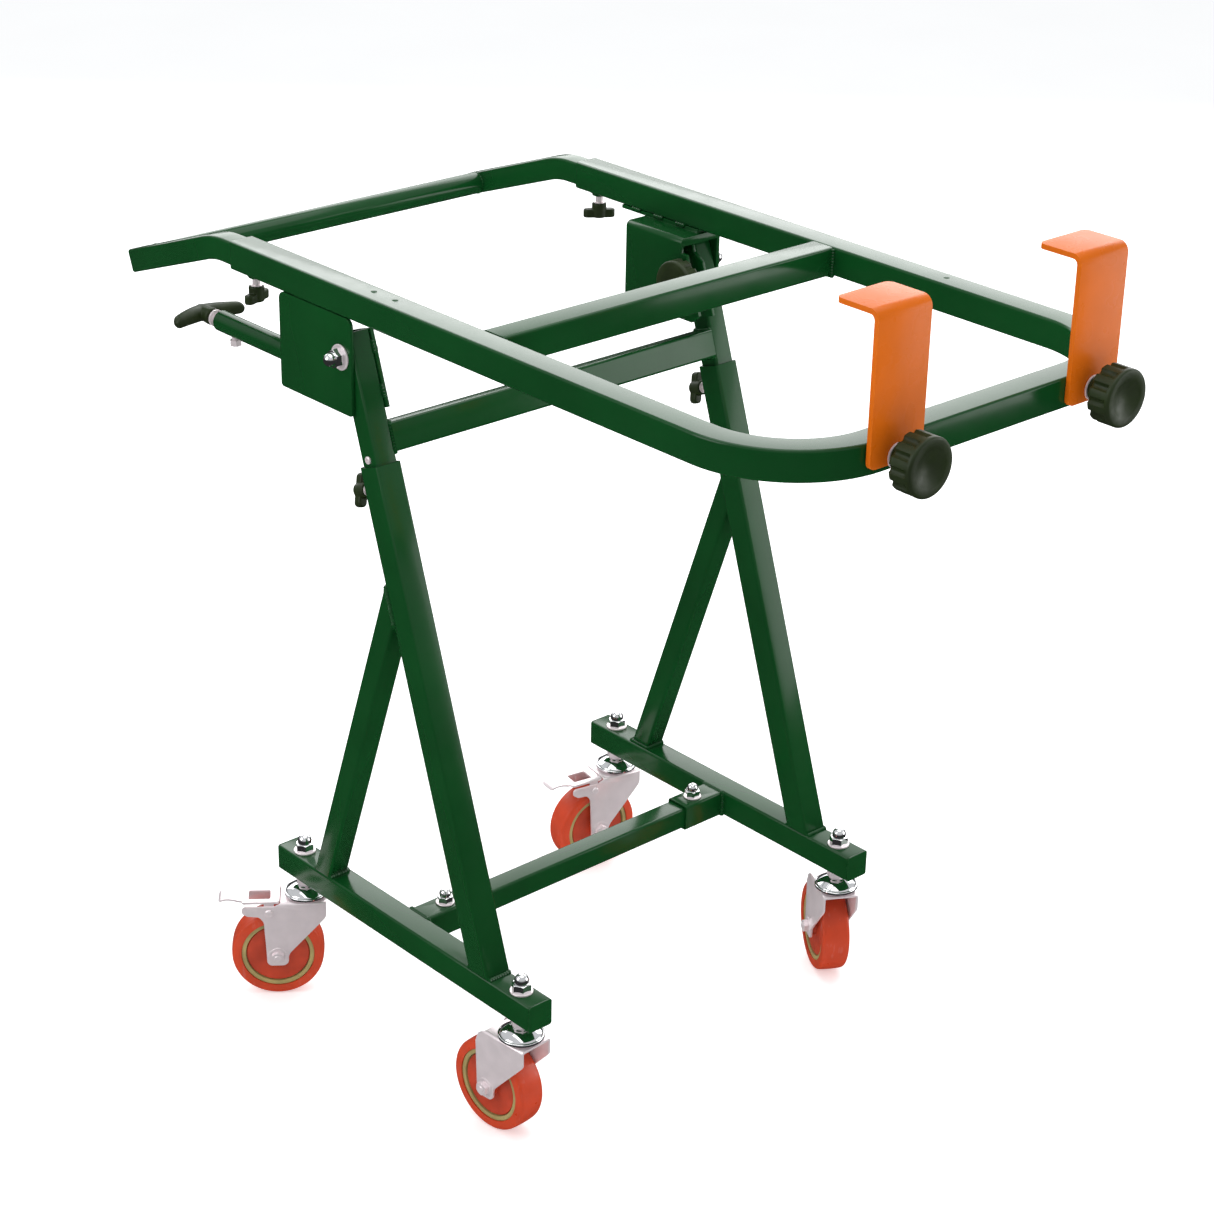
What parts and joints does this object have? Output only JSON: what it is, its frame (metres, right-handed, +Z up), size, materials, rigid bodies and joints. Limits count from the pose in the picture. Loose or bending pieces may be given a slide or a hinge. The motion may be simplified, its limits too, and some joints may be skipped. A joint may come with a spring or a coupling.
{
  "type": "tilting panel cart",
  "caption": "Rolling panel cart: tubular table frame with edge hooks and sliding push handle, tilting on telescoping legs over swivel casters.",
  "frame": {"origin": "on the floor, in the middle of the overall footprint", "axes": "+X towards the hooks at the front of the table, +Y to the left side, +Z up"},
  "size_m": [1.0273, 0.5964, 0.969],
  "materials": {
    "green_paint": "glossy dark green powder coat",
    "orange_paint": "satin orange powder coat",
    "zinc_plate": "bright zinc plating",
    "chrome_plate": "polished chrome plating",
    "black_plastic": "satin moulded black plastic",
    "red_polyurethane": "satin red-orange polyurethane",
    "tan_nylon": "satin tan plastic"
  },
  "bodies": {
    "base": {"right_base_beam": "green_paint", "left_base_beam": "green_paint", "right_leg_tube": "green_paint", "left_leg_tube": "green_paint", "right_brace_tube": "green_paint", "left_brace_tube": "green_paint", "lower_cross_tube": "green_paint", "cross_tube_sleeves": "green_paint", "cross_tube_bolts": "chrome_plate", "base_end_plugs": "green_paint", "caster_stems": "zinc_plate", "caster_caps": "chrome_plate", "caster_nuts": "chrome_plate", "caster_bearings": "zinc_plate"},
    "upper_frame": {"right_upper_leg": "green_paint", "left_upper_leg": "green_paint", "upper_cross_bar": "green_paint", "leg_side_plates": "green_paint", "height_stop_screws": "zinc_plate"},
    "right_leg_knob": {"right_leg_knob": "black_plastic"},
    "left_leg_knob": {"left_leg_knob": "black_plastic"},
    "table": {"table_frame": "green_paint", "table_cross_bar": "green_paint", "right_pivot_bracket": "green_paint", "left_pivot_bracket": "green_paint", "pivot_bolts": "chrome_plate", "lock_tube": "green_paint", "lock_guide_bolt": "zinc_plate", "lock_spring": "zinc_plate"},
    "lock_plunger": {"lock_rod": "zinc_plate", "t_handle": "black_plastic"},
    "push_handle": {"right_handle_arm": "green_paint", "left_handle_arm": "green_paint", "handle_bar": "green_paint", "handle_end_plugs": "green_paint"},
    "right_rail_knob": {"right_rail_knob": "black_plastic"},
    "left_rail_knob": {"left_rail_knob": "black_plastic"},
    "right_hook": {"right_hook": "orange_paint"},
    "left_hook": {"left_hook": "orange_paint"},
    "right_hook_knob": {"right_hook_knob": "black_plastic"},
    "left_hook_knob": {"left_hook_knob": "black_plastic"},
    "tilt_clamp_knob": {"tilt_clamp_knob": "black_plastic"},
    "right_rear_caster": {"right_rear_fork": "zinc_plate", "right_rear_axle": "zinc_plate"},
    "right_rear_wheel": {"right_rear_core": "tan_nylon", "right_rear_tyre": "red_polyurethane"},
    "right_rear_pedal": {"right_rear_pedal": "zinc_plate"},
    "right_front_caster": {"right_front_fork": "zinc_plate", "right_front_axle": "zinc_plate"},
    "right_front_wheel": {"right_front_core": "tan_nylon", "right_front_tyre": "red_polyurethane"},
    "left_front_caster": {"left_front_fork": "zinc_plate", "left_front_axle": "zinc_plate"},
    "left_front_wheel": {"left_front_core": "tan_nylon", "left_front_tyre": "red_polyurethane"},
    "left_rear_caster": {"left_rear_fork": "zinc_plate", "left_rear_axle": "zinc_plate"},
    "left_rear_wheel": {"left_rear_core": "tan_nylon", "left_rear_tyre": "red_polyurethane"},
    "left_rear_pedal": {"left_rear_pedal": "zinc_plate"}
  },
  "joints": [
    {"name": "height_slide", "type": "slide", "parent": "base", "child": "upper_frame", "axis": [-0.3173, 0, 0.9483], "range_m": [-0.002, 0.2]},
    {"name": "table_tilt", "type": "hinge", "parent": "upper_frame", "child": "table", "pos_m": [-0.1343, 0.015, 0.7785], "axis": [0, 1, 0], "range_deg": [0, 70]},
    {"name": "handle_slide", "type": "slide", "parent": "table", "child": "push_handle", "axis": [-1, 0, 0], "range_m": [-0.015, 0.2]},
    {"name": "lock_slide", "type": "slide", "parent": "table", "child": "lock_plunger", "axis": [1, 0, 0], "range_m": [-0.015, 0.008], "deforming": ["lock_spring"]},
    {"name": "right_leg_knob_turn", "type": "hinge", "parent": "base", "child": "right_leg_knob", "pos_m": [-0.10247, -0.214, 0.64506], "axis": [-0.9483, 0, -0.3173], "continuous": true},
    {"name": "left_leg_knob_turn", "type": "hinge", "parent": "base", "child": "left_leg_knob", "pos_m": [-0.10247, 0.244, 0.64506], "axis": [-0.9483, 0, -0.3173], "continuous": true},
    {"name": "right_rail_knob_turn", "type": "hinge", "parent": "table", "child": "right_rail_knob", "pos_m": [-0.294, -0.216, 0.815], "axis": [0, 0, -1], "continuous": true},
    {"name": "left_rail_knob_turn", "type": "hinge", "parent": "table", "child": "left_rail_knob", "pos_m": [-0.294, 0.246, 0.815], "axis": [0, 0, -1], "continuous": true},
    {"name": "right_hook_swing", "type": "hinge", "parent": "table", "child": "right_hook", "pos_m": [0.4738, -0.106, 0.835], "axis": [1, 0, 0], "range_deg": [-60, 60]},
    {"name": "right_hook_knob_turn", "type": "hinge", "parent": "table", "child": "right_hook_knob", "pos_m": [0.489, -0.106, 0.835], "axis": [1, 0, 0], "continuous": true},
    {"name": "left_hook_swing", "type": "hinge", "parent": "table", "child": "left_hook", "pos_m": [0.4738, 0.152, 0.835], "axis": [1, 0, 0], "range_deg": [-60, 60]},
    {"name": "left_hook_knob_turn", "type": "hinge", "parent": "table", "child": "left_hook_knob", "pos_m": [0.489, 0.152, 0.835], "axis": [1, 0, 0], "continuous": true},
    {"name": "tilt_clamp_knob_turn", "type": "hinge", "parent": "table", "child": "tilt_clamp_knob", "pos_m": [-0.107, 0.195, 0.77], "axis": [0, -1, 0], "continuous": true},
    {"name": "right_rear_swivel", "type": "hinge", "parent": "base", "child": "right_rear_caster", "pos_m": [-0.244, -0.214, 0.117], "axis": [0, 0, 1], "continuous": true},
    {"name": "right_rear_wheel_turn", "type": "hinge", "parent": "right_rear_caster", "child": "right_rear_wheel", "pos_m": [-0.26378, -0.23978, 0.051], "axis": [0.7934, -0.6088, 0], "continuous": true},
    {"name": "right_rear_pedal_press", "type": "hinge", "parent": "right_rear_caster", "child": "right_rear_pedal", "pos_m": [-0.26872, -0.24621, 0.106], "axis": [0.7934, -0.6088, 0], "range_deg": [0, 12]},
    {"name": "right_front_swivel", "type": "hinge", "parent": "base", "child": "right_front_caster", "pos_m": [0.122, -0.214, 0.117], "axis": [0, 0, 1], "continuous": true},
    {"name": "right_front_wheel_turn", "type": "hinge", "parent": "right_front_caster", "child": "right_front_wheel", "pos_m": [0.08958, -0.21627, 0.051], "axis": [0.0698, -0.9976, 0], "continuous": true},
    {"name": "left_front_swivel", "type": "hinge", "parent": "base", "child": "left_front_caster", "pos_m": [0.122, 0.244, 0.117], "axis": [0, 0, 1], "continuous": true},
    {"name": "left_front_wheel_turn", "type": "hinge", "parent": "left_front_caster", "child": "left_front_wheel", "pos_m": [0.094, 0.26049, 0.051], "axis": [-0.5075, -0.8616, 0], "continuous": true},
    {"name": "left_rear_swivel", "type": "hinge", "parent": "base", "child": "left_rear_caster", "pos_m": [-0.244, 0.244, 0.117], "axis": [0, 0, 1], "continuous": true},
    {"name": "left_rear_wheel_turn", "type": "hinge", "parent": "left_rear_caster", "child": "left_rear_wheel", "pos_m": [-0.24992, 0.21204, 0.051], "axis": [0.9833, -0.1822, 0], "continuous": true},
    {"name": "left_rear_pedal_press", "type": "hinge", "parent": "left_rear_caster", "child": "left_rear_pedal", "pos_m": [-0.2514, 0.20408, 0.106], "axis": [0.9833, -0.1822, 0], "range_deg": [0, 12]}
  ]
}
